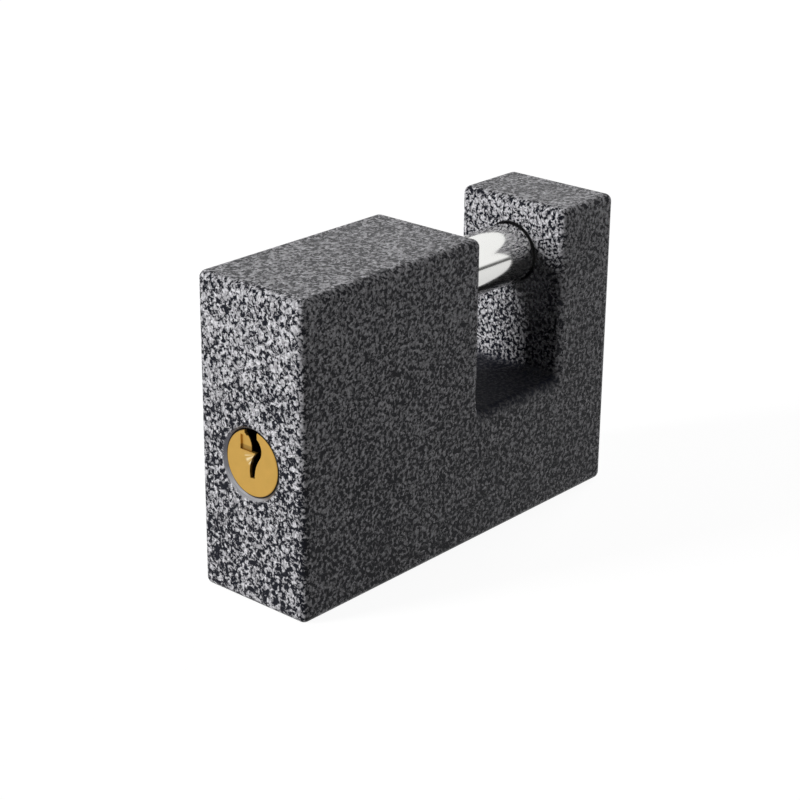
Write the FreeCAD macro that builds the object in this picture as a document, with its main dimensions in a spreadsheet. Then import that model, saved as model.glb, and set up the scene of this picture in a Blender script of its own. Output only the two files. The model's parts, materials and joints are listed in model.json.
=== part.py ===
import FreeCAD, Part
import math
import os
import Sketcher

# Shutter padlock: a cast block with a slot for the shutter's lug, closed by a sliding round bolt.
# +X runs along the block from the keyhole end to the ear, +Y to the back, +Z up.
# The origin is at the middle of the underside. All lengths are in millimetres.

PIN_COUNT = 5
STRAIGHTS = 8
WIRE_SIDES = 4
MARGIN = 1.0

SIZES = {
    # Casting
    "block_length": 48.5,
    "slot_width": 25.0,
    "ear_width": 16.5,
    "body_depth": 26.0,
    "slot_floor": 27.0,
    "bolt_cover": 11.2,
    "edge_radius": 1.5,
    "slot_corner_radius": 1.5,
    # Bolt, its bore and what holds it
    "bolt_diameter": 12.0,
    "bolt_clearance": 0.1,
    "bolt_past_pin": 5.95,
    "bolt_chamfer": 0.8,
    "bolt_overrun": 0.5,
    "bolt_groove_width": 3.2,
    "bolt_groove_depth": 2.0,
    "bolt_pin_diameter": 3.0,
    "bolt_pin_inset": 8.25,
    "bolt_pin_gap": 0.4,
    "kick_spring_length": 7.0,
    "kick_spring_diameter": 9.0,
    "kick_wire": 1.0,
    # Key plug
    "plug_diameter": 13.0,
    "plug_height": 28.2,
    "plug_recess": 0.3,
    "plug_clearance": 0.05,
    "plug_chamfer": 0.25,
    "plug_countersink": 0.6,
    "keyway_past_pin": 2.3,
    "keyway_floor": 2.9,
    "keyway_width": 1.3,
    "keyway_swing": 1.7,
    "keyway_mouth": 3.1,
    "ward_height": 2.2,
    "shoulder_depth": 0.35,
    "shoulder_width": 2.8,
    "shoulder_height": 2.9,
    # Pins in their chambers
    "pin_first": 4.0,
    "pin_pitch": 3.8,
    "pin_diameter": 2.9,
    "pin_clearance": 0.05,
    "pin_gap": 0.03,
    "pin_point": 1.1,
    "pin_travel": 1.6,
    "key_pin_step": 0.4,
    "key_pin_shortest": 4.0,
    "driver_length": 5.5,
    "chamber_plug_length": 5.0,
    "chamber_plug_recess": 0.3,
    "driver_wire": 0.4,
    # Dowel that holds the plug in
    "plug_pin_diameter": 2.0,
    "plug_pin_gap": 0.1,
    "plug_pin_offset": 4.0,
    "plug_pin_inset": 4.1,
    "plug_groove_depth": 1.8,
    # Cam on the plug's inner end
    "cam_side_room": 0.15,
    "cam_edge_gap": 0.1,
    "cam_lift": 2.8,
    "cam_clearance": 0.3,
    "tongue_length": 1.5,
    "tongue_width": 2.4,
    "tongue_height": 5.6,
    "fit_clearance": 0.05,
    "screw_diameter": 2.5,
    "screw_depth": 4.5,
    "screw_head_diameter": 4.6,
    "screw_head_height": 1.5,
    "screw_slot_width": 0.8,
    "screw_slot_depth": 0.7,
    "cam_room": 1.2,
    # Locking pin under the bolt
    "foot_diameter": 6.0,
    "foot_height": 3.0,
    "foot_cone": 1.2,
    "nose_diameter": 1.2,
    "stem_diameter": 4.0,
    "stem_gap": 0.4,
    "lock_spring_length": 5.0,
    "lock_hole_clearance": 0.2,
    "lock_wire": 0.5,
    "guide_length": 3.5,
    "lock_plug_length": 4.0,
}

doc = FreeCAD.newDocument("ShutterPadlock")
sheet = doc.addObject("Spreadsheet::Sheet", "Sizes")
for row, (name, size) in enumerate(SIZES.items(), start=1):
    sheet.set(f"A{row}", name)
    sheet.set(f"B{row}", str(size))
    sheet.setAlias(f"B{row}", name)
doc.recompute()

sub_parts = []


def rule(text):
    """Expression text in which each size name is looked up in the sheet."""
    for name in sorted(SIZES, key=len, reverse=True):
        text = text.replace(f"<{name}>", f"Sizes.{name}")
    return text


def value(text):
    """The number that an expression gives now."""
    return float(sheet.evalExpression(rule(text)))


def bind(item, **rules):
    """Bind properties of an object to expressions; x, y and z mean its place."""
    for name, text in rules.items():
        target = f"Placement.Base.{name}" if name in "xyz" else name
        item.setExpression(target, rule(text))
    return item


def keep(item, label):
    """Mark an object as a sub-part that is written out under its label."""
    item.Label = label
    sub_parts.append(item)
    return item


def origin_plane(body, role):
    return next(f for f in body.Origin.OriginFeatures if f.Role == role)


def outline(body, plane, corners, name="Outline"):
    """Closed polygon sketch whose corners are bound to pairs of expressions."""
    sketch = body.newObject("Sketcher::SketchObject", name)
    sketch.AttachmentSupport = [(origin_plane(body, plane), "")]
    sketch.MapMode = "FlatFace"
    points = [FreeCAD.Vector(value(a), value(b), 0) for a, b in corners]
    count = len(points)
    for i in range(count):
        sketch.addGeometry(Part.LineSegment(points[i], points[(i + 1) % count]))
    for i in range(count):
        sketch.addConstraint(Sketcher.Constraint("Coincident", i, 2, (i + 1) % count, 1))
    for i, pair in enumerate(corners):
        for kind, axis, text in (("DistanceX", -2, pair[0]), ("DistanceY", -1, pair[1])):
            if text == "0":
                sketch.addConstraint(Sketcher.Constraint("PointOnObject", i, 1, axis))
                continue
            added = sketch.addConstraint(Sketcher.Constraint(kind, -1, 1, i, 1, value(text)))
            label = f"{kind[-1].lower()}_of_corner_{i}"
            sketch.renameConstraint(added, label)
            sketch.setExpression(f"Constraints.{label}", rule(text))
    return sketch


def new_body(name):
    body = doc.addObject("PartDesign::Body", name)
    doc.recompute()
    return body


def turned(name, corners, axis):
    """Body of revolution: a half profile in the XZ plane turned about X (H_Axis) or Z (V_Axis)."""
    body = new_body(name)
    sketch = outline(body, "XZ_Plane", corners)
    spin = body.newObject("PartDesign::Revolution", "Turned")
    spin.Profile = sketch
    spin.ReferenceAxis = (sketch, [axis])
    spin.Angle = 360.0
    doc.recompute()
    return body


TURN = {
    "X": FreeCAD.Rotation(FreeCAD.Vector(0, 1, 0), 90),
    "Y": FreeCAD.Rotation(FreeCAD.Vector(1, 0, 0), -90),
    "Z": FreeCAD.Rotation(),
}


def cylinder(name, axis, diameter, length, x="0", y="0", z="0"):
    """Round tool that starts at x, y, z and runs along +axis."""
    item = doc.addObject("Part::Cylinder", name)
    item.Placement.Rotation = TURN[axis]
    return bind(item, Radius=f"({diameter}) / 2", Height=length, x=x, y=y, z=z)


def cone(name, axis, start, end, length, x="0", y="0", z="0"):
    """Conical tool from a start to an end diameter."""
    item = doc.addObject("Part::Cone", name)
    item.Placement.Rotation = TURN[axis]
    return bind(item, Radius1=f"({start}) / 2", Radius2=f"({end}) / 2", Height=length, x=x, y=y, z=z)


def box(name, length, width, height, x, y, z):
    item = doc.addObject("Part::Box", name)
    return bind(item, Length=length, Width=width, Height=height, x=x, y=y, z=z)


def fuse(name, shapes):
    item = doc.addObject("Part::MultiFuse", name)
    item.Shapes = shapes
    return item


def less(name, base, tools):
    """Base less its tools, which are fused first."""
    item = doc.addObject("Part::Cut", name)
    item.Base = base
    item.Tool = fuse(f"{name}Tools", tools) if len(tools) > 1 else tools[0]
    return item


def cut(label, base, tools):
    """Base less its tools, kept as a sub-part."""
    return keep(less(label.title().replace("_", ""), base, tools), label)


def coil(label, axis, diameter, wire, turns, length, x, z):
    """Compression spring with its first end at x, z, bent in short straights from four-sided wire."""
    wire_radius = value(wire) / 2
    radius = value(diameter) / 2 - wire_radius
    rise = value(length) - 2 * wire_radius
    count = STRAIGHTS * turns
    path = []
    for i in range(count + 1):
        angle = 2 * math.pi * i / STRAIGHTS
        path.append(FreeCAD.Vector(radius * math.cos(angle), radius * math.sin(angle),
                                   wire_radius + rise * i / count))
    start = path[0]
    along = (path[1] - start).normalize()
    out = FreeCAD.Vector(1, 0, 0)
    out = (out - along * out.dot(along)).normalize()
    side = along.cross(out)
    ring = []
    for i in range(WIRE_SIDES + 1):
        angle = 2 * math.pi * (i % WIRE_SIDES) / WIRE_SIDES
        ring.append(start + (out * math.cos(angle) + side * math.sin(angle)) * wire_radius)
    sweep = Part.BRepOffsetAPI.MakePipeShell(Part.makePolygon(path))
    sweep.setFrenetMode(True)
    sweep.setTransitionMode(1)
    sweep.add(Part.makePolygon(ring))
    sweep.build()
    sweep.makeSolid()
    spring = doc.addObject("Part::Feature", label)
    spring.Shape = sweep.shape()
    spring.Placement.Rotation = TURN[axis]
    return keep(bind(spring, x=x, z=z), label)


# Widths and bores
HALF = "((<block_length> + <slot_width> + <ear_width>) / 2)"
CAM_WIDTH = "(<foot_diameter> + 2 * <cam_side_room>)"
BOLT_BORE = "(<bolt_diameter> + 2 * <bolt_clearance>)"
PLUG_BORE = "(<plug_diameter> + 2 * <plug_clearance>)"
PLUG_MOUTH = f"({PLUG_BORE} + 2 * <plug_countersink> + 2 * {MARGIN})"
CHAMBER = "(<pin_diameter> + 2 * <pin_clearance>)"
FOOT_BORE = "(<foot_diameter> + 4 * <fit_clearance>)"
STEM_BORE = "(<stem_diameter> + 2 * <fit_clearance>)"

# Places along X
END = f"(-{HALF})"
SLOT_LEFT = f"({END} + <block_length>)"
SLOT_RIGHT = f"({SLOT_LEFT} + <slot_width>)"
PLUG_FACE = f"({END} + <plug_recess>)"
LAST_PIN_X = f"({END} + <pin_first> + {PIN_COUNT - 1} * <pin_pitch>)"
PLUG_PIN_X = f"({LAST_PIN_X} + <plug_pin_offset>)"
PLUG_TAIL = f"({PLUG_PIN_X} + <plug_pin_inset>)"
PLUG_LENGTH = f"({PLUG_TAIL} - {PLUG_FACE})"
CAM_TAIL = f"({PLUG_TAIL} + {CAM_WIDTH})"
LOCK_PIN_X = f"({PLUG_TAIL} + {CAM_WIDTH} / 2)"
BOLT_TIP = f"({LOCK_PIN_X} - <bolt_past_pin>)"
BOLT_LENGTH = f"({HALF} - {BOLT_TIP})"
BORE_END = f"({BOLT_TIP} - <kick_spring_length>)"
BOLT_TRAVEL = f"({SLOT_RIGHT} + <bolt_overrun> - {BOLT_TIP})"
BOLT_PIN_X = f"({HALF} - <bolt_pin_inset>)"

# Heights, from the plug's axis up through the locking pin to the bolt and the top
CAM_WIDE = "(<plug_diameter> / 2 - <cam_edge_gap>)"
CAM_START = f"({CAM_WIDE} - <cam_lift>)"
NOSE = f"(<plug_height> + {CAM_START} + <cam_clearance>)"
FOOT_TOP = f"({NOSE} + <foot_cone> + <foot_height>)"
GUIDE = f"({FOOT_TOP} + <lock_spring_length>)"
BOLT_UNDERSIDE = f"({GUIDE} + <guide_length>)"
BOLT_HEIGHT = f"({BOLT_UNDERSIDE} + <bolt_diameter> / 2)"
STEM_TOP = f"({BOLT_UNDERSIDE} - <stem_gap>)"
TOP = f"({BOLT_HEIGHT} + <bolt_cover>)"

# Heights down from the shear line, where the plug ends and the pins part
SHEAR = "(<plug_height> - <plug_diameter> / 2)"
DRIVER_TOP = f"({SHEAR} - <plug_clearance> - <pin_gap>)"
DRIVER_FOOT = f"({DRIVER_TOP} - <driver_length>)"
CHAMBER_PLUG_TOP = "(<chamber_plug_recess> + <chamber_plug_length>)"
PIN_HOLE_TOP = "(<plug_height> - <plug_diameter> / 4)"

# A flat-ended key pin sits this far out and still lies inside the plug's round
PIN_SEAT = "sqrt((<plug_diameter> / 2) ^ 2 - (<pin_diameter> / 2) ^ 2)"
KEY_PIN_FOOT = f"(<plug_height> - {PIN_SEAT})"


def pin_x(n):
    return f"({END} + <pin_first> + {n} * <pin_pitch>)"


def casting():
    """Block, slot and ear as one casting, then its drilled bores."""
    body = new_body("CastBlock")
    corners = [
        (END, "0"), (HALF, "0"), (HALF, TOP), (SLOT_RIGHT, TOP),
        (SLOT_RIGHT, "<slot_floor>"), (SLOT_LEFT, "<slot_floor>"), (SLOT_LEFT, TOP), (END, TOP),
    ]
    sketch = outline(body, "XZ_Plane", corners)
    pad = body.newObject("PartDesign::Pad", "Cast")
    pad.Profile = sketch
    pad.SideType = "Symmetric"
    pad.setExpression("Length", rule("<body_depth>"))
    doc.recompute()
    floor = value("<slot_floor>")
    inner, outer = [], []
    for i, edge in enumerate(pad.Shape.Edges, start=1):
        ends = [v.Point for v in edge.Vertexes]
        along_y = abs(ends[0].y - ends[1].y) > MARGIN
        (inner if along_y and abs(ends[0].z - floor) < MARGIN else outer).append(f"Edge{i}")
    corner = body.newObject("PartDesign::Fillet", "SlotCorners")
    corner.Base = (pad, inner)
    corner.setExpression("Radius", rule("<slot_corner_radius>"))
    doc.recompute()
    rounding = body.newObject("PartDesign::Fillet", "Edges")
    edges = corner.Shape.Edges
    rounding.Base = (corner, [f"Edge{i + 1}" for i, edge in enumerate(edges) if sharp(corner.Shape, edge)])
    rounding.setExpression("Radius", rule("<edge_radius>"))
    doc.recompute()
    body.Tip = rounding

    cam_end = f"{CAM_TAIL} + <screw_head_height> + <cam_room>"
    tools = [
        cylinder("PlugBore", "X", PLUG_BORE, f"{cam_end} - {END} + {MARGIN}", x=f"{END} - {MARGIN}",
                 z="<plug_height>"),
        cone("PlugMouth", "X", PLUG_MOUTH, PLUG_BORE, f"{MARGIN} + <plug_countersink>",
             x=f"{END} - {MARGIN}", z="<plug_height>"),
        cylinder("BoltBore", "X", BOLT_BORE, f"{HALF} + {MARGIN} - {BORE_END}", x=BORE_END, z=BOLT_HEIGHT),
        cylinder("LockBore", "Z", FOOT_BORE, f"{GUIDE} + {MARGIN}", x=LOCK_PIN_X, z=f"-{MARGIN}"),
        cylinder("StemBore", "Z", STEM_BORE, f"{BOLT_HEIGHT} - {GUIDE}", x=LOCK_PIN_X, z=GUIDE),
        cylinder("PlugPinHole", "Z", "<plug_pin_diameter>", f"{PIN_HOLE_TOP} + {MARGIN}", x=PLUG_PIN_X,
                 z=f"-{MARGIN}"),
        cylinder("BoltPinHole", "Y", "<bolt_pin_diameter>", f"<body_depth> / 2 + {MARGIN}", x=BOLT_PIN_X,
                 z=BOLT_HEIGHT),
    ]
    for n in range(PIN_COUNT):
        tools.append(cylinder(f"Chamber{n + 1}", "Z", CHAMBER, f"{PIN_HOLE_TOP} + {MARGIN}", x=pin_x(n),
                              z=f"-{MARGIN}"))
    cut("body_casting", body, tools)


def sharp(shape, edge):
    """True where two faces meet at an edge with a corner, not smoothly."""
    faces = [f for f in shape.Faces if any(e.isSame(edge) for e in f.Edges)]
    middle = edge.valueAt((edge.FirstParameter + edge.LastParameter) / 2)
    normals = []
    for face in faces:
        u, v = face.Surface.parameter(middle)
        normals.append(face.normalAt(u, v))
    return len(normals) == 2 and normals[0].getAngle(normals[1]) > 0.1


def bolt():
    """Round bolt with chamfered ends, a groove along its back and a hole for the locking pin."""
    radius = "<bolt_diameter> / 2"
    bevel = "<bolt_chamfer>"
    body = turned("BoltBar", [
        ("0", "0"), (BOLT_LENGTH, "0"), (BOLT_LENGTH, f"{radius} - {bevel}"),
        (f"{BOLT_LENGTH} - {bevel}", radius), (bevel, radius), ("0", f"{radius} - {bevel}"),
    ], "H_Axis")
    bind(body, x=BOLT_TIP, z=BOLT_HEIGHT)
    floor = f"{radius} - <bolt_groove_depth>"
    start = f"{BOLT_PIN_X} - {BOLT_TRAVEL}"
    groove = [
        box("BoltGroove", BOLT_TRAVEL, f"<bolt_groove_depth> + {MARGIN}", "<bolt_groove_width>",
            start, floor, f"{BOLT_HEIGHT} - <bolt_groove_width> / 2"),
        cylinder("GrooveStart", "Y", "<bolt_groove_width>", f"<bolt_groove_depth> + {MARGIN}",
                 x=start, y=floor, z=BOLT_HEIGHT),
        cylinder("GrooveEnd", "Y", "<bolt_groove_width>", f"<bolt_groove_depth> + {MARGIN}",
                 x=BOLT_PIN_X, y=floor, z=BOLT_HEIGHT),
        cylinder("LockHole", "Z", "<stem_diameter> + 2 * <lock_hole_clearance>",
                 "<cam_lift> + <stem_gap>", x=LOCK_PIN_X, z=STEM_TOP),
    ]
    cut("bolt", body, groove)


def arc(start, middle, end):
    return Part.Arc(*[FreeCAD.Vector(0, y, z) for y, z in (start, middle, end)]).toShape()


def straight(start, end):
    return Part.makeLine(FreeCAD.Vector(0, *start), FreeCAD.Vector(0, *end))


def keyway():
    """Paracentric keyway: an S across the plug's axis with one square ward, open at the plug's top."""
    reach = value("<plug_diameter>") / 2
    width = value("<keyway_width>")
    swing = value("<keyway_swing>")
    floor = -value("<keyway_floor>")
    ward = value("<ward_height>")
    mouth = value("<keyway_mouth>") / 2
    back = 1.13 * mouth
    front = -0.87 * mouth
    root = (0.35 * width, floor)
    toe = (-0.5 * width, 0.95 * floor)
    ward_in = (-0.55 * swing, ward)
    ward_out = (0.3 * width, ward)
    lip = (back, 0.86 * reach)
    back_top = (back, reach + MARGIN)
    front_top = (front, reach + MARGIN)
    shoulder = (front, 0.78 * reach)
    waist = (-1.15 * swing, 0.2 * reach)
    edges = [
        straight(toe, root),
        arc(root, (0.42 * width, 0.35 * floor), ward_in),
        straight(ward_in, ward_out),
        arc(ward_out, (0.42 * width, 0.62 * reach), lip),
        straight(lip, back_top),
        straight(back_top, front_top),
        straight(front_top, shoulder),
        arc(shoulder, (-1.45 * swing, 0.46 * reach), waist),
        arc(waist, (-0.7 * width, 0.31 * floor), toe),
    ]
    length = value(f"{LAST_PIN_X} + <keyway_past_pin> - {PLUG_FACE}") + MARGIN
    item = doc.addObject("Part::Feature", "Keyway")
    item.Shape = Part.Face(Part.Wire(edges)).extrude(FreeCAD.Vector(length, 0, 0))
    return bind(item, x=f"{PLUG_FACE} - {MARGIN}", z="<plug_height>")


def key_plug():
    """Brass plug: keyway, key's shoulder seat, pin holes, retaining groove and driving tongue."""
    radius = "<plug_diameter> / 2"
    bevel = "<plug_chamfer>"
    core = f"{radius} - <plug_groove_depth>"
    middle = f"{PLUG_LENGTH} - <plug_pin_inset>"
    groove = "(<plug_pin_diameter> / 2 + <plug_pin_gap>)"
    body = turned("PlugBar", [
        ("0", "0"), (PLUG_LENGTH, "0"), (PLUG_LENGTH, radius),
        (f"{middle} + {groove}", radius), (f"{middle} + {groove}", core),
        (f"{middle} - {groove}", core), (f"{middle} - {groove}", radius),
        (bevel, radius), ("0", f"{radius} - {bevel}"),
    ], "H_Axis")
    bind(body, x=PLUG_FACE, z="<plug_height>")
    holes = []
    for n in range(PIN_COUNT):
        holes.append(cylinder(f"PinHole{n + 1}", "Z", CHAMBER, f"{MARGIN} + {radius} + <pin_travel>",
                              x=pin_x(n), z=f"{SHEAR} - {MARGIN}"))
    tongue = box("Tongue", f"<tongue_length> + {MARGIN}", "<tongue_width>", "<tongue_height>",
                 f"{PLUG_TAIL} - {MARGIN}", "-<tongue_width> / 2", "<plug_height> - <tongue_height> / 2")
    seats = [
        box("ShoulderSeat", f"<shoulder_depth> + {MARGIN}", "<shoulder_width>", "<shoulder_height>",
            f"{PLUG_FACE} - {MARGIN}", "0", "<plug_height> + <ward_height>"),
        cylinder("TailHole", "X", "<screw_diameter>", f"<screw_depth> + <tongue_length> + {MARGIN}",
                 x=f"{PLUG_TAIL} - <screw_depth>", z="<plug_height>"),
    ]
    drilled = less("DrilledPlug", fuse("PlugWithTongue", [body, tongue]), holes)
    broached = less("BroachedPlug", drilled, [keyway()])
    cut("key_plug", broached, seats)


def pins():
    """Key pins in the plug and, below the shear line, driver pins, springs and chamber plugs."""
    radius = "<pin_diameter> / 2"
    cuts = [1, 3, 0, 4, 2]
    plugs = []
    for n in range(PIN_COUNT):
        length = f"(<key_pin_shortest> + {cuts[n]} * <key_pin_step>)"
        key_pin = turned(f"KeyPin{n + 1}", [
            ("0", "0"), (radius, "0"), (radius, f"{length} - <pin_point>"), ("0", length),
        ], "V_Axis")
        keep(bind(key_pin, x=pin_x(n), z=KEY_PIN_FOOT), f"key_pin_{n + 1}")
        keep(cylinder(f"Driver{n + 1}", "Z", "<pin_diameter>", "<driver_length>",
                      x=pin_x(n), z=DRIVER_FOOT), f"driver_pin_{n + 1}")
        coil(f"driver_spring_{n + 1}", "Z", "<pin_diameter> - 0.3", "<driver_wire>", 4,
             f"{DRIVER_FOOT} - {CHAMBER_PLUG_TOP}", pin_x(n), CHAMBER_PLUG_TOP)
        plugs.append(cylinder(f"ChamberPlug{n + 1}", "Z", CHAMBER, "<chamber_plug_length>",
                              x=pin_x(n), z="<chamber_plug_recess>"))
    group = doc.addObject("Part::Compound", "ChamberPlugs")
    group.Links = plugs
    keep(group, "chamber_plugs")


def dowels():
    """Pins that hold the plug and the bolt, and the plug of the locking pin's bore."""
    keep(cylinder("PlugDowel", "Z", "<plug_pin_diameter>",
                  f"{SHEAR} + <plug_groove_depth> - <plug_pin_gap> - <chamber_plug_recess>",
                  x=PLUG_PIN_X, z="<chamber_plug_recess>"), "plug_retaining_pin")
    floor = "(<bolt_diameter> / 2 - <bolt_groove_depth> + <bolt_pin_gap>)"
    keep(cylinder("BoltDowel", "Y", "<bolt_pin_diameter>",
                  f"<body_depth> / 2 - <chamber_plug_recess> - {floor}",
                  x=BOLT_PIN_X, y=floor, z=BOLT_HEIGHT), "bolt_retaining_pin")
    keep(cylinder("LockBorePlug", "Z", FOOT_BORE, "<lock_plug_length>",
                  x=LOCK_PIN_X, z="<chamber_plug_recess>"), "locking_bore_plug")


def cam():
    """Cam whose rim rises over a quarter turn, dwells and steps back, with its slot for the tongue."""
    start = value(CAM_START)
    lift = value("<cam_lift>")
    wide = start + lift
    mean = (start + wide) / 2 * math.sqrt(0.5)
    top = FreeCAD.Vector(0, 0, start)
    side = FreeCAD.Vector(0, wide, 0)
    low = FreeCAD.Vector(0, 0, -wide)
    foot = FreeCAD.Vector(0, 0, -start)
    rise = Part.Arc(top, FreeCAD.Vector(0, mean, mean), side)
    dwell = Part.Arc(side, FreeCAD.Vector(0, wide * math.sqrt(0.5), -wide * math.sqrt(0.5)), low)
    back = Part.Arc(foot, FreeCAD.Vector(0, -start, 0), top)
    rim = Part.Wire([rise.toShape(), dwell.toShape(), Part.makeLine(low, foot), back.toShape()])
    plate = Part.Face(rim).extrude(FreeCAD.Vector(value(CAM_WIDTH), 0, 0))
    gap = value("<fit_clearance>")
    width = value("<tongue_width>") + 2 * gap
    height = value("<tongue_height>") + 2 * gap
    corner = FreeCAD.Vector(0, -width / 2, -height / 2)
    slot = Part.makeBox(value("<tongue_length>") + gap, width, height, corner)
    hole = Part.makeCylinder(value("<screw_diameter>") / 2 + gap, value(CAM_WIDTH),
                             FreeCAD.Vector(0, 0, 0), FreeCAD.Vector(1, 0, 0))
    item = doc.addObject("Part::Feature", "TailCam")
    item.Shape = plate.cut(slot.fuse(hole))
    keep(bind(item, x=PLUG_TAIL, z="<plug_height>"), "tail_cam")


def cam_screw():
    """Cheese-head screw that clamps the cam on the plug's tail."""
    shank = "<screw_diameter> / 2"
    head = "<screw_head_diameter> / 2"
    under = f"<screw_depth> + {CAM_WIDTH}"
    body = turned("CamScrewBar", [
        ("0", "0"), (f"{under} + <screw_head_height>", "0"), (f"{under} + <screw_head_height>", head),
        (under, head), (under, shank), ("0", shank),
    ], "H_Axis")
    bind(body, x=f"{PLUG_TAIL} - <screw_depth>", z="<plug_height>")
    slot = box("ScrewSlot", f"<screw_slot_depth> + {MARGIN}", f"<screw_head_diameter> + 2 * {MARGIN}",
               "<screw_slot_width>", f"{CAM_TAIL} + <screw_head_height> - <screw_slot_depth>",
               f"-<screw_head_diameter> / 2 - {MARGIN}", "<plug_height> - <screw_slot_width> / 2")
    cut("cam_screw", body, [slot])


def locking_pin():
    """Stepped pin that the cam lifts into the bolt, with its return spring."""
    foot = "<foot_diameter> / 2"
    stem = "<stem_diameter> / 2"
    shoulder = "<foot_cone> + <foot_height>"
    total = f"{STEM_TOP} - {NOSE}"
    pin = turned("LockingPin", [
        ("0", "0"), ("<nose_diameter> / 2", "0"), (foot, "<foot_cone>"), (foot, shoulder),
        (stem, shoulder), (stem, total), ("0", total),
    ], "V_Axis")
    keep(bind(pin, x=LOCK_PIN_X, z=NOSE), "locking_pin")
    coil("locking_pin_spring", "Z", f"{FOOT_BORE} - 0.4", "<lock_wire>", 3,
         f"{GUIDE} - {FOOT_TOP}", LOCK_PIN_X, FOOT_TOP)


casting()
bolt()
key_plug()
pins()
dowels()
cam()
cam_screw()
locking_pin()
coil("kick_spring", "X", "<kick_spring_diameter>", "<kick_wire>", 4,
     "<kick_spring_length>", BORE_END, BOLT_HEIGHT)
doc.recompute()

for item in doc.Objects:
    if {"Invalid", "Error"} & set(item.State):
        raise RuntimeError(f"{item.Label} did not build: {item.State}")
for item in sub_parts:
    if item.Shape.isNull() or not item.Shape.isValid() or not item.Shape.Solids:
        raise RuntimeError(f"{item.Label} has no valid solid")

os.makedirs("parts", exist_ok=True)
for item in sub_parts:
    item.Shape.exportStep(f"parts/{item.Label}.step")
    print(f"{item.Label}: {item.Shape.Volume:.1f} cubic mm")
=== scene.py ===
import json
import math
import bpy
from mathutils import Matrix, Vector


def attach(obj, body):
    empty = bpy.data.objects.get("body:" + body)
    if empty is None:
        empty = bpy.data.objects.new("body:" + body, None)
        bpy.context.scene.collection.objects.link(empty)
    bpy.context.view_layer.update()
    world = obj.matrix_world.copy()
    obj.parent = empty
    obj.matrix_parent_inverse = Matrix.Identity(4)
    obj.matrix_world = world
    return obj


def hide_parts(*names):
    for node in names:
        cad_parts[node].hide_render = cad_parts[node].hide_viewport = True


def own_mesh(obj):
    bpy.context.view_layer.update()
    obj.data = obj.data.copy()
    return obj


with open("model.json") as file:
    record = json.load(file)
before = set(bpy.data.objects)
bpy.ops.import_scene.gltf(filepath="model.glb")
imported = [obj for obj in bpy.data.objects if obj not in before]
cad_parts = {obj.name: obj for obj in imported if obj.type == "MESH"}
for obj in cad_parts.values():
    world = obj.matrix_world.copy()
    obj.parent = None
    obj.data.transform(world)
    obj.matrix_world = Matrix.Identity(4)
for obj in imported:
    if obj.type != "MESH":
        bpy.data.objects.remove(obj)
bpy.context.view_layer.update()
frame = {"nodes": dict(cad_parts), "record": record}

mm = 0.001
scene = bpy.context.scene
nodes = frame["nodes"]


# Helpers for materials. Each material is a node tree on Object coordinates, counted in millimetres.

noiseSpread = (0.3, 0.7)         # most of a noise lies between these
noiseMiddle = 0.5


def newMaterial(name):
    material = bpy.data.materials.new(name)
    material.use_nodes = True
    tree = material.node_tree
    shader = next(n for n in tree.nodes if n.type == "BSDF_PRINCIPLED")
    return material, tree, shader


def addNode(tree, kind, **settings):
    node = tree.nodes.new(kind)
    for key, value in settings.items():
        if key in node.inputs:
            node.inputs[key].default_value = value
        else:
            setattr(node, key, value)
    return node


def objectPlace(tree, stretch=(1, 1, 1)):
    coords = addNode(tree, "ShaderNodeTexCoord")
    mapping = addNode(tree, "ShaderNodeMapping")
    mapping.inputs["Scale"].default_value = [s / mm for s in stretch]
    tree.links.new(coords.outputs["Object"], mapping.inputs["Vector"])
    return mapping.outputs["Vector"]


def axes(tree, place):
    node = addNode(tree, "ShaderNodeSeparateXYZ")
    tree.links.new(place, node.inputs[0])
    return node.outputs


def alongLine(tree, value):
    # a place that moves with the value alone, for rings and spokes
    node = addNode(tree, "ShaderNodeCombineXYZ")
    tree.links.new(value, node.inputs[0])
    return node.outputs[0]


def calculate(tree, operation, first, second=0.0, clamp=False):
    node = addNode(tree, "ShaderNodeMath", operation=operation, use_clamp=clamp)
    for socket, value in zip(node.inputs, (first, second)):
        if isinstance(value, (int, float)):
            socket.default_value = value
        else:
            tree.links.new(value, socket)
    return node.outputs[0]


def plus(tree, first, second):
    return calculate(tree, "ADD", first, second)


def minus(tree, first, second):
    return calculate(tree, "SUBTRACT", first, second)


def times(tree, first, second):
    return calculate(tree, "MULTIPLY", first, second)


def larger(tree, first, second):
    return calculate(tree, "MAXIMUM", first, second)


def shareOf(tree, value, whole):
    # from 0 to 1 over the whole, and no further either way
    return calculate(tree, "DIVIDE", value, whole, True)


def distance(tree, first, second):
    squares = plus(tree, times(tree, first, first), times(tree, second, second))
    return calculate(tree, "SQRT", squares)


def between(tree, value, low, high, soft):
    # 1 where the value lies from low to high, falling to 0 over the soft distance
    rise = shareOf(tree, minus(tree, value, low - soft), soft)
    fall = shareOf(tree, minus(tree, high + soft, value), soft)
    return times(tree, rise, fall)


def grey(value):
    return (value, value, value)


def mixColour(tree, share, first, second):
    node = addNode(tree, "ShaderNodeMix", data_type="RGBA")
    sockets = [s for s in node.inputs if s.enabled]
    for socket, value in zip(sockets, (share, first, second)):
        if isinstance(value, tuple):
            socket.default_value = (*value, 1)
        else:
            tree.links.new(value, socket)
    return next(s for s in node.outputs if s.enabled)


def ramp(tree, source, edges, values=(0.0, 1.0)):
    node = addNode(tree, "ShaderNodeValToRGB")
    for element, place, value in zip(node.color_ramp.elements, edges, values):
        element.position = place
        element.color = (*grey(value), 1)
    tree.links.new(source, node.inputs["Fac"])
    return node.outputs["Color"]


def noise(tree, place, scale=1.0, detail=2.0, distortion=0.0):
    node = addNode(tree, "ShaderNodeTexNoise", Scale=scale, Detail=detail, Distortion=distortion)
    tree.links.new(place, node.inputs["Vector"])
    return node.outputs["Fac"]


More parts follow.
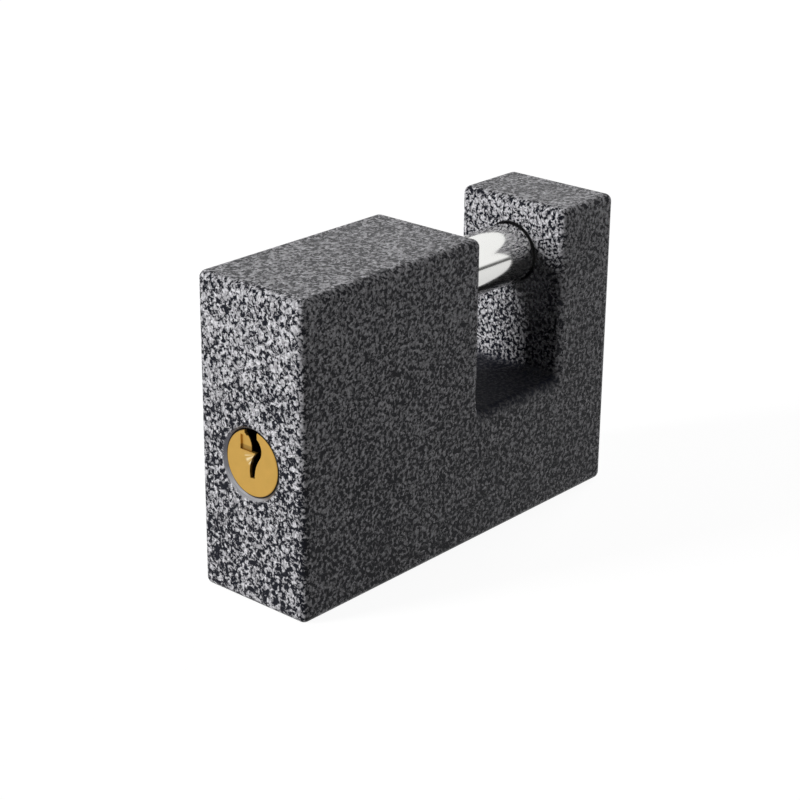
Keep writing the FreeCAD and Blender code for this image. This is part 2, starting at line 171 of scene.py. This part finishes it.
def bump(tree, shader, height, relief, strength):
    node = addNode(tree, "ShaderNodeBump", Strength=strength, Distance=relief)
    tree.links.new(height, node.inputs["Height"])
    tree.links.new(node.outputs["Normal"], shader.inputs["Normal"])


# Places that the finishes share, in millimetres

plugFace = {
    "height": 28.2,              # plug's axis above the underside
    "reach": 6.5,
    "depth": -44.7,              # where the face lies
    "end": -45.0,                # the block's end face
    # reach of the painted shade inside the plug's bore
    "bore": 6.58,
    "boreEnd": -8.0,
}

boltHole = {
    "height": 50.8,
    "lip": 6.38,                 # the painted shadow reaches just past the drilled hole, a thin dark ring round the bolt
    "start": -28.0,              # blind end of the bore
}

# painted shade on the slot's floor: the veins fade there, and the coat is rougher
slotFloorShade = {
    "across": (3.8, 28.2),
    "acrossSoft": 0.6,
    "height": (26.7, 27.4),      # from just under the floor to just above it
    "heightSoft": 2.5,           # the veins come back over this distance
    "shadeShare": 0.85,
    "roughness": 0.6,
}


def reachFrom(tree, y, z, height):
    return distance(tree, y, minus(tree, z, height))


# Silver-vein enamel on the casting, bare metal at the plug's mouth, painted shade in the bores and the
# slot, and a painted highlight on the ring

veinCoat = {
    "veinScale": 1.3,            # noise cells per millimetre
    "veinDistortion": 0.5,
    "raggedScale": 3.0,
    "raggedDistortion": 0.4,
    "raggedShare": 0.3,
    "veinEdge": (0.468, 0.566),  # where the noise turns from black to silver
    "driftScale": 0.12,
    "driftDetail": 1.0,
    "drift": 0.06,
    "footShade": 0.0005,            # painted shade: fewer veins towards the foot, per millimetre
    "middle": 36.0,
    "flakeScale": 1.9,
    "flakeEdge": (0.36, 0.66),
    "dark": (0.005, 0.006, 0.012),
    "silver": (0.36, 0.355, 0.375),
    "flake": (0.86, 0.85, 0.885),
    # near black of the painted shade inside the bores and round the bolt
    "bore": (0.004, 0.004, 0.005),
    "boreShadeSoft": 0.05,
    "boreShadeEndSoft": 0.5,
    "beyond": 50.0,              # past the block's ends
    "roughness": (0.26, 0.42),   # of the black and of the veins
    "ior": 1.21,
    "relief": 0.05 * mm,
    "reliefStrength": 0.6,
}

machinedRing = {
    "reach": 6.95,               # just past the chamfer
    "soft": 0.15,
    "wander": 1.4,               # how far the ring's edge strays
    # the ring sits off centre, widest at the lower left where its painted highlight lies
    "offCentre": 0.22,
    "depth": 1.2,
    "depthSoft": 0.3,
    "turning": (9, 0.4, 0.4),    # marks per millimetre
    "highlightStart": 1.0,            # above the plug's axis, where the painted highlight begins
    "highlightOver": 7.0,
    "metal": (0.13, 0.13, 0.15),
    "highlightTone": (0.62, 0.62, 0.64),
    "metallic": 0.9,
    "roughness": 0.28,
}


def veinPattern(tree, place, z, ragged):
    vein = noise(tree, place, veinCoat["veinScale"], distortion=veinCoat["veinDistortion"])
    drift = noise(tree, place, veinCoat["driftScale"], veinCoat["driftDetail"])
    share = veinCoat["raggedShare"]
    mixed = plus(tree, times(tree, vein, 1 - share), times(tree, ragged, share))
    mixed = plus(tree, mixed, times(tree, minus(tree, drift, noiseMiddle), veinCoat["drift"]))
    # painted shade and light: fewer veins below the middle height, more above it
    footShadeLean = times(tree, minus(tree, z, veinCoat["middle"]), veinCoat["footShade"])
    return ramp(tree, plus(tree, mixed, footShadeLean), veinCoat["veinEdge"])


# where the painted shade on the slot's floor lies
def slotFloorShadeMask(tree, x, z):
    across = between(tree, x, *slotFloorShade["across"], slotFloorShade["acrossSoft"])
    return times(tree, across, between(tree, z, *slotFloorShade["height"], slotFloorShade["heightSoft"]))


def ringMask(tree, x, y, z, ragged):
    aside = machinedRing["offCentre"]
    reach = reachFrom(tree, minus(tree, y, aside), z, plugFace["height"] - aside)
    wander = times(tree, minus(tree, ragged, noiseMiddle), machinedRing["wander"])
    ring = between(tree, plus(tree, reach, wander), 0.0, machinedRing["reach"], machinedRing["soft"])
    end, depth = plugFace["end"], machinedRing["depth"]
    return times(tree, ring, between(tree, x, end - depth, end + depth, machinedRing["depthSoft"]))


# near black where a bore's painted shade lies
def boreShadeMask(tree, x, reach, radius, start, end):
    within = between(tree, reach, 0.0, radius, veinCoat["boreShadeSoft"])
    return times(tree, within, between(tree, x, start, end, veinCoat["boreShadeEndSoft"]))


def veinCoatMaterial():
    material, tree, shader = newMaterial("silverVeinCoat")
    place = objectPlace(tree)
    x, y, z = axes(tree, place)
    ragged = noise(tree, place, veinCoat["raggedScale"], distortion=veinCoat["raggedDistortion"])

    # painted shade on the slot's floor: the veins fade towards black there
    floor = slotFloorShadeMask(tree, x, z)
    reached = minus(tree, 1.0, times(tree, floor, slotFloorShade["shadeShare"]))
    silver = times(tree, veinPattern(tree, place, z, ragged), reached)
    flake = ramp(tree, noise(tree, place, veinCoat["flakeScale"]), veinCoat["flakeEdge"])
    metallic = mixColour(tree, flake, veinCoat["silver"], veinCoat["flake"])
    coat = mixColour(tree, silver, veinCoat["dark"], metallic)

    # the chamfer round the plug is machined after coating, with fine turning marks, dark above and a
    # painted highlight below
    bare = ringMask(tree, x, y, z, ragged)
    turned = noise(tree, objectPlace(tree, machinedRing["turning"]))
    top = plugFace["height"] + machinedRing["highlightStart"]
    highlightShare = shareOf(tree, minus(tree, top, z), machinedRing["highlightOver"])
    metal = mixColour(tree, times(tree, highlightShare, turned), machinedRing["metal"], machinedRing["highlightTone"])
    colour = mixColour(tree, bare, coat, metal)

    # painted shade: near black inside the bores, and a thin painted shadow ring round the bolt's hole
    beyond = veinCoat["beyond"]
    plugReach = reachFrom(tree, y, z, plugFace["height"])
    boltReach = reachFrom(tree, y, z, boltHole["height"])
    inside = larger(tree, boreShadeMask(tree, x, plugReach, plugFace["bore"], -beyond, plugFace["boreEnd"]),
                    boreShadeMask(tree, x, boltReach, boltHole["lip"], boltHole["start"], beyond))
    tree.links.new(mixColour(tree, inside, colour, veinCoat["bore"]), shader.inputs["Base Color"])

    gloss = ramp(tree, silver, (0.0, 1.0), veinCoat["roughness"])
    gloss = mixColour(tree, floor, gloss, grey(slotFloorShade["roughness"]))
    gloss = mixColour(tree, bare, gloss, grey(machinedRing["roughness"]))
    tree.links.new(gloss, shader.inputs["Roughness"])
    shine = times(tree, bare, machinedRing["metallic"])
    tree.links.new(times(tree, shine, minus(tree, 1.0, inside)), shader.inputs["Metallic"])
    shader.inputs["IOR"].default_value = veinCoat["ior"]
    height = times(tree, silver, minus(tree, 1.0, bare))
    bump(tree, shader, height, veinCoat["relief"], veinCoat["reliefStrength"])
    return material


# Chrome plate on the bolt

chromePlate = {
    "tone": (0.88, 0.88, 0.86),
    "dim": 0.94,                 # share of the tone in the darker patches
    "hazeScale": 0.3,
    "hazeDetail": 3.0,
    "roughness": (0.09, 0.15),
    "drawing": (0.1, 5, 5),      # marks per millimetre, along and round the bar
    "ringsPerMm": 3.0,
    "ringShare": 3.0,            # the rings' weight beside the drawing marks
    "relief": 0.004 * mm,
    "reliefStrength": 0.3,
}


def chromeMaterial():
    material, tree, shader = newMaterial("chromePlate")
    place = objectPlace(tree)
    haze = noise(tree, place, chromePlate["hazeScale"], chromePlate["hazeDetail"])
    tone = chromePlate["tone"]
    dim = tuple(chromePlate["dim"] * c for c in tone)
    tree.links.new(mixColour(tree, haze, dim, tone), shader.inputs["Base Color"])
    shader.inputs["Metallic"].default_value = 1.0
    tree.links.new(ramp(tree, haze, noiseSpread, chromePlate["roughness"]), shader.inputs["Roughness"])

    # drawing marks along the bar, turning rings on its end faces
    drawn = noise(tree, objectPlace(tree, chromePlate["drawing"]))
    y, z = axes(tree, place)[1:3]
    reach = reachFrom(tree, y, z, boltHole["height"])
    rings = noise(tree, alongLine(tree, times(tree, reach, chromePlate["ringsPerMm"])))
    height = plus(tree, drawn, times(tree, rings, chromePlate["ringShare"]))
    bump(tree, shader, height, chromePlate["relief"], chromePlate["reliefStrength"])
    return material


# Brass of the plug and pins

turnedBrass = {
    "tone": (0.62, 0.36, 0.074),
    "light": (0.80, 0.49, 0.115),
    "patchScale": 0.4,
    "patchDetail": 3.0,
    "metallic": 0.8,
    "roughness": (0.34, 0.48),
    "reliefStrength": 0.5,
    "pinMarks": (0.5, 0.5, 7),   # per millimetre, so they lie in rings round the pin
    "pinRelief": 0.01 * mm,
}

# The plug's end face. Across is to the back, rise is above the plug's axis, in millimetres.

plugMarks = {
    "shade": (0.20, 0.105, 0.025),
    "bandAcross": (0.3, 2.9),    # painted shade in a band at the seat's foot
    "bandAcrossSoft": 0.1,
    "bandRise": (2.30, 2.95),
    "bandRiseSoft": 0.25,
    "bandShare": 0.55,
    # colour of the painted highlight fan below the seat
    "fanHighlight": (1.0, 0.80, 0.46),
    "fanApex": (-1.1, 2.0),      # across and rise of the cutter marks' corner
    "fanFar": (0.6, 2.7),
    "fanFarSoft": 0.5,
    "fanBearing": (-1.3, -0.25),     # radians, downwards and to the back
    "fanBearingSoft": 0.2,
    "spokesPerRadian": 2.1,
    "spokeScale": 2.0,
    "spokeDetail": 1.0,
    "spokeEdge": (0.46, 0.56),
    # near black of the painted shade at the rim and in the keyway
    "dark": (0.006, 0.004, 0.003),
    "rimShadeWidth": 0.10,
    "rimShadeSoft": 0.06,
    "keywayShadeFrom": 0.42,          # behind the face, where the painted shade in the keyway begins
    "keywayShadeOver": 0.35,
    "ringsPerMm": 6.0,
    "ringScale": 1.1,
    "relief": 0.008 * mm,
}


def brassMaterial(name):
    material, tree, shader = newMaterial(name)
    patches = noise(tree, objectPlace(tree), turnedBrass["patchScale"], turnedBrass["patchDetail"])
    colour = mixColour(tree, patches, turnedBrass["tone"], turnedBrass["light"])
    shader.inputs["Metallic"].default_value = turnedBrass["metallic"]
    roughness = ramp(tree, patches, noiseSpread, turnedBrass["roughness"])
    tree.links.new(roughness, shader.inputs["Roughness"])
    return material, tree, shader, colour


def pinBrass():
    material, tree, shader, colour = brassMaterial("turnedBrass")
    tree.links.new(colour, shader.inputs["Base Color"])
    marks = noise(tree, objectPlace(tree, turnedBrass["pinMarks"]))
    bump(tree, shader, marks, turnedBrass["pinRelief"], turnedBrass["reliefStrength"])
    return material


def paintedHighlightFan(tree, y, rise):
    # painted highlight in streaks like cutter marks, spreading from one corner of the key's shoulder
    # seat
    apexAcross, apexRise = plugMarks["fanApex"]
    across = minus(tree, y, apexAcross)
    down = minus(tree, rise, apexRise)
    bearing = calculate(tree, "ARCTAN2", down, across)
    far = distance(tree, across, down)
    spokes = alongLine(tree, times(tree, bearing, plugMarks["spokesPerRadian"]))
    streaks = noise(tree, spokes, plugMarks["spokeScale"], plugMarks["spokeDetail"])
    reached = between(tree, far, *plugMarks["fanFar"], plugMarks["fanFarSoft"])
    swept = between(tree, bearing, *plugMarks["fanBearing"], plugMarks["fanBearingSoft"])
    return times(tree, times(tree, reached, swept), ramp(tree, streaks, plugMarks["spokeEdge"]))


def plugBrass():
    # faced on the lathe, with painted shade and painted highlight streaks by the key's shoulder seat,
    # and painted shade in the keyway and at the rim
    material, tree, shader, colour = brassMaterial("plugBrass")
    x, y, z = axes(tree, objectPlace(tree))
    reach = reachFrom(tree, y, z, plugFace["height"])
    rise = minus(tree, z, plugFace["height"])

    # painted shade in a band at the seat's foot, and a painted highlight fan below it
    band = times(tree, between(tree, y, *plugMarks["bandAcross"], plugMarks["bandAcrossSoft"]),
                 between(tree, rise, *plugMarks["bandRise"], plugMarks["bandRiseSoft"]))
    colour = mixColour(tree, times(tree, band, plugMarks["bandShare"]), colour, plugMarks["shade"])
    colour = mixColour(tree, paintedHighlightFan(tree, y, rise), colour, plugMarks["fanHighlight"])

    # painted shade: a dark ring at the rim for the gap's shadow, and the keyway darkened inside
    edge, width = plugFace["reach"], plugMarks["rimShadeWidth"]
    rim = between(tree, reach, edge - width, edge + width, plugMarks["rimShadeSoft"])
    behind = minus(tree, x, plugFace["depth"] + plugMarks["keywayShadeFrom"])
    dark = larger(tree, rim, shareOf(tree, behind, plugMarks["keywayShadeOver"]))
    tree.links.new(mixColour(tree, dark, colour, plugMarks["dark"]), shader.inputs["Base Color"])

    outward = alongLine(tree, times(tree, reach, plugMarks["ringsPerMm"]))
    rings = noise(tree, outward, plugMarks["ringScale"])
    bump(tree, shader, rings, plugMarks["relief"], turnedBrass["reliefStrength"])
    return material


# Steel of the inner pieces

innerSteel = {
    "machined": (0.55, 0.28),    # tone and least roughness
    "wire": (0.42, 0.22),
    "grain": (0.5, 2, 2),        # stretch, the grain lies along the block
    "grainScale": 1.2,
    "grainDetail": 3.0,
    "dim": (0.85, 0.85, 0.87),   # shares of the tone in the darker and the lighter grain
    "light": (1.0, 1.0, 1.02),
    "rougher": 0.14,
    "relief": 0.02 * mm,
    "reliefStrength": 0.3,
}


def steelMaterial(name, kind):
    material, tree, shader = newMaterial(name)
    tone, rough = innerSteel[kind]
    place = objectPlace(tree, innerSteel["grain"])
    grain = noise(tree, place, innerSteel["grainScale"], innerSteel["grainDetail"])
    dim, light = (tuple(tone * c for c in innerSteel[k]) for k in ("dim", "light"))
    tree.links.new(mixColour(tree, grain, dim, light), shader.inputs["Base Color"])
    shader.inputs["Metallic"].default_value = 1.0
    roughness = ramp(tree, grain, noiseSpread, (rough, rough + innerSteel["rougher"]))
    tree.links.new(roughness, shader.inputs["Roughness"])
    bump(tree, shader, grain, innerSteel["relief"], innerSteel["reliefStrength"])
    return material


def dress():
    # each carried-over node gets the finish of its slot in the record
    finishes = {
        "silver_vein_coat": veinCoatMaterial(),
        "chrome": chromeMaterial(),
        "brass": pinBrass(),
        "steel": steelMaterial("machinedSteel", "machined"),
        "spring_steel": steelMaterial("springWire", "wire"),
    }
    slotOf = {s["node"]: s["material_slot"] for s in frame["record"]["subparts"]}
    plug = plugBrass()
    for name, node in nodes.items():
        node.data.materials.clear()
        node.data.materials.append(plug if name == "key_plug" else finishes[slotOf[name]])
    print("finishes on", len(nodes), "nodes")


# Springs wound from round wire.

driverCoil = {
    "count": 5,
    "first": -41.0 * mm,
    "pitch": 3.8 * mm,
    "outer": 2.6 * mm,
    "wire": 0.4 * mm,
    "turns": 4,
    "length": 10.82 * mm,
    "foot": 5.3 * mm,            # fixed end, on the chamber's plug
    "keep": 0.852,               # share of the length left when the pin is down
}

lockingCoil = {
    "place": (-14.55 * mm, 0, 36.3 * mm),
    "outer": 5.8 * mm,
    "wire": 0.5 * mm,
    "turns": 3,
    "length": 5.0 * mm,
    "top": 41.3 * mm,            # fixed end, under the guide
    "keep": 0.44,
}

kickCoil = {
    "place": (-27.5 * mm, 0, 50.8 * mm),
    "outer": 9.0 * mm,
    "wire": 1.0 * mm,
    "turns": 4,
    "length": 7.0 * mm,
}

coilMesh = {
    "wireSides": 12,
    "stepsPerTurn": 28,
    "gap": 0.012 * mm,           # between each end of a coil and what it presses on
    "weld": 0.001 * mm,
    "smoothAngle": 50,
}


def windCoil(coil, place, turn=(0, 0, 0)):
    bpy.ops.object.select_all(action="DESELECT")
    start = ((coil["outer"] - coil["wire"]) / 2, 0, coil["wire"] / 2 + coilMesh["gap"])
    bpy.ops.mesh.primitive_circle_add(vertices=coilMesh["wireSides"], radius=coil["wire"] / 2,
                                      location=start, rotation=(math.pi / 2, 0, 0))
    piece = bpy.context.object
    bpy.ops.object.transform_apply(location=True, rotation=True, scale=True)
    screw = piece.modifiers.new("wind", "SCREW")
    screw.angle = 2 * math.pi * coil["turns"]
    screw.screw_offset = coil["length"] - coil["wire"] - 2 * coilMesh["gap"]
    screw.steps = screw.render_steps = coil["turns"] * coilMesh["stepsPerTurn"]
    bpy.ops.object.modifier_apply(modifier="wind")

    # the wire's ends are closed, and its faces turned outwards
    bpy.ops.object.mode_set(mode="EDIT")
    bpy.ops.mesh.select_all(action="SELECT")
    bpy.ops.mesh.remove_doubles(threshold=coilMesh["weld"])
    bpy.ops.mesh.fill_holes(sides=0)
    bpy.ops.mesh.select_all(action="SELECT")
    bpy.ops.mesh.normals_make_consistent(inside=False)
    bpy.ops.object.mode_set(mode="OBJECT")
    piece.rotation_euler = turn
    piece.location = place
    bpy.ops.object.transform_apply(location=True, rotation=True, scale=True)
    bpy.ops.object.shade_smooth_by_angle(angle=math.radians(coilMesh["smoothAngle"]))
    return piece


def copyCoil(shift):
    # a copy, with its own mesh, of the coil that is selected
    bpy.ops.object.duplicate()
    bpy.ops.transform.translate(value=(shift, 0, 0))
    bpy.ops.object.transform_apply(location=True, rotation=True, scale=True)
    return bpy.context.object


def fitCoil(piece, name):
    piece.name = name + "_coil"
    piece.data.materials.append(nodes[name].data.materials[0])
    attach(piece, "casting")
    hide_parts(name)


def addCoils():
    count, first, pitch, foot = (driverCoil[k] for k in ("count", "first", "pitch", "foot"))
    coils = [windCoil(driverCoil, (first, 0, foot))]
    while len(coils) < count:
        coils.append(copyCoil(pitch))
    for number, coil in enumerate(coils):
        fitCoil(coil, f"driver_spring_{number + 1}")
        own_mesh(coil)
    coil = windCoil(lockingCoil, lockingCoil["place"])
    fitCoil(coil, "locking_pin_spring")
    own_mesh(coil)
    fitCoil(windCoil(kickCoil, kickCoil["place"], (0, math.pi / 2, 0)), "kick_spring")
    print("coils wound")


# Camera

camera = {
    "place": (-281.87 * mm, -242.93 * mm, 177.28 * mm),
    "azimuth": 48.78,
    "elevation": 21.96,
    "roll": 0.56,
    "focalPixels": 2061.1,
    "frameWidth": 800,
    "sensor": 36.0,
    "clip": (0.01, 20),
}


def addCamera():
    data = bpy.data.cameras.new("studioCamera")
    data.sensor_width = camera["sensor"]
    data.lens = camera["focalPixels"] / camera["frameWidth"] * camera["sensor"]
    data.clip_start, data.clip_end = camera["clip"]
    body = bpy.data.objects.new("studioCamera", data)
    scene.collection.objects.link(body)
    azimuth, elevation, roll = (math.radians(camera[k]) for k in ("azimuth", "elevation", "roll"))
    forward = Vector((math.sin(azimuth) * math.cos(elevation),
                      math.cos(azimuth) * math.cos(elevation), -math.sin(elevation)))
    turn = forward.to_track_quat("-Z", "Y").to_matrix().to_4x4() @ Matrix.Rotation(roll, 4, "Z")
    body.matrix_world = Matrix.Translation(camera["place"]) @ turn
    scene.camera = body
    print("camera set")


# White studio. The camera and the metal see it pale, and the lamps give nearly all of the light.

studio = {
    "floorSize": 8.0,
    "floorTone": 0.15,
    "floorRoughness": 0.9,
    "floorSpecular": 0.1,
    "floorGlow": 0.94,           # keeps the floor white to the camera
    "mirroredGlow": 0.80,
    "worldTone": 0.012,
    "worldSeen": 1.0,
    "horizonBand": (-0.01, 0.09),
    "horizonTone": 0.12,
    "horizonSoft": 0.07,
    "aim": (0, 0, 30 * mm),
    "lamps": [
        # name, place, size, power
        ("keyLamp", (-1.30, 0.68, 0.50), 0.40, 23.5),
        ("frontLamp", (0.35, -1.45, 0.10), 0.45, 3.0),
        ("rightLamp", (1.20, 0.15, 0.65), 0.5, 6.5),
    ],
}


def mirroredRays(tree, path):
    # rays that metal sends on to the camera, and none that only carry light from it to the coat
    first = calculate(tree, "SUBTRACT", 1.0, path.outputs["Diffuse Depth"], True)
    return times(tree, path.outputs["Is Glossy Ray"], first)


def addFloor():
    bpy.ops.object.select_all(action="DESELECT")
    bpy.ops.mesh.primitive_plane_add(size=studio["floorSize"], location=(0, 0, 0))
    floor = bpy.context.object
    floor.name = "studioFloor"
    material, tree, shader = newMaterial("paleFloor")
    shader.inputs["Base Color"].default_value = (*grey(studio["floorTone"]), 1)
    shader.inputs["Roughness"].default_value = studio["floorRoughness"]
    shader.inputs["Specular IOR Level"].default_value = studio["floorSpecular"]
    shader.inputs["Emission Color"].default_value = (1, 1, 1, 1)
    path = addNode(tree, "ShaderNodeLightPath")
    mirrored = times(tree, mirroredRays(tree, path), studio["mirroredGlow"])
    seen = larger(tree, path.outputs["Is Camera Ray"], mirrored)
    tree.links.new(times(tree, seen, studio["floorGlow"]), shader.inputs["Emission Strength"])
    floor.data.materials.append(material)


def addLamps():
    for name, place, size, power in studio["lamps"]:
        data = bpy.data.lights.new(name, "AREA")
        data.size = size
        data.energy = power
        lamp = bpy.data.objects.new(name, data)
        scene.collection.objects.link(lamp)
        aim = Vector(studio["aim"]) - Vector(place)
        turn = aim.to_track_quat("-Z", "Y").to_matrix().to_4x4()
        lamp.matrix_world = Matrix.Translation(place) @ turn
        lamp.visible_glossy = False      # metal mirrors the pale surroundings, not the lamps


def addWorld():
    # white to the camera, faint to the coat, and with a dark band at the horizon for the metal
    world = bpy.data.worlds.new("studioWorld")
    world.use_nodes = True
    tree = world.node_tree
    background = next(n for n in tree.nodes if n.type == "BACKGROUND")
    path = addNode(tree, "ShaderNodeLightPath")
    coords = addNode(tree, "ShaderNodeTexCoord")
    height = axes(tree, coords.outputs["Generated"])[2]
    band = between(tree, height, *studio["horizonBand"], studio["horizonSoft"])
    drop = times(tree, band, studio["worldSeen"] - studio["horizonTone"])
    mirrored = times(tree, mirroredRays(tree, path), minus(tree, studio["worldSeen"], drop))
    notGlossy = minus(tree, 1.0, path.outputs["Is Glossy Ray"])
    lit = plus(tree, mirrored, times(tree, studio["worldTone"], notGlossy))
    strength = larger(tree, lit, path.outputs["Is Camera Ray"])
    tree.links.new(strength, background.inputs["Strength"])
    background.inputs["Color"].default_value = (1, 1, 1, 1)
    scene.world = world


def addStudio():
    addFloor()
    addLamps()
    addWorld()
    scene.view_settings.view_transform = "Standard"
    print("studio set")


dress()
addCoils()
addCamera()
addStudio()
